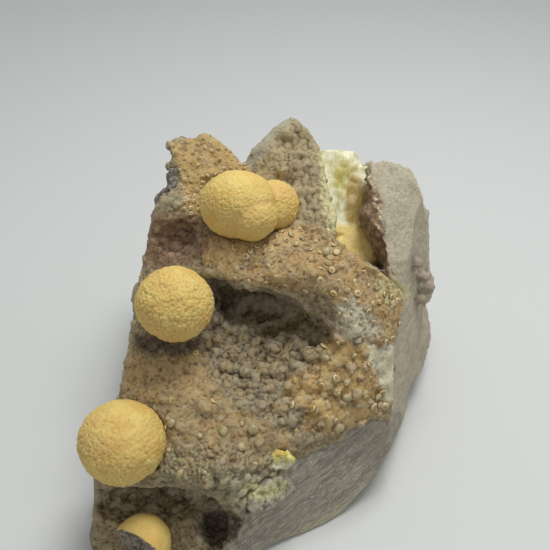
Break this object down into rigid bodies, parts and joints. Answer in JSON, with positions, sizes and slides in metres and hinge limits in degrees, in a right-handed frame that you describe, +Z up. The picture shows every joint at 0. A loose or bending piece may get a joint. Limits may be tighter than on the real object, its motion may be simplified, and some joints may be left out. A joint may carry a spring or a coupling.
{
  "type": "calcite on basalt specimen",
  "caption": "Chunk of basalt, broken flat below, with a nodule-lined vug that carries golden calcite balls and a pale split calcite in a cleft.",
  "frame": {"origin": "middle of the specimen's footprint box, on the flat underside that it rests on", "axes": "+Z up; the open, lined face looks towards -Y and leans back; +X to the right of someone facing it"},
  "size_m": [0.095, 0.1026, 0.0796],
  "materials": {
    "basalt": "dull grey-brown broken basalt, fine grained",
    "brown_lining": "brown to ochre crust of small round nodules, dull with a slight sheen on the beads",
    "golden_calcite": "warm golden balls with a finely wrinkled, slightly waxy surface",
    "pale_calcite": "pale greenish-white to yellow fibrous broken calcite, faintly translucent",
    "yellow_flake": "small bright ochre-yellow chip"
  },
  "bodies": {
    "root": {"basalt_matrix": "basalt", "nodular_lining": "brown_lining", "calcite_ball_pair_upper": "golden_calcite", "calcite_ball_middle": "golden_calcite", "calcite_ball_lower": "golden_calcite", "calcite_ball_broken": "golden_calcite", "calcite_in_cleft": "pale_calcite", "yellow_flake": "yellow_flake"}
  },
  "joints": []
}
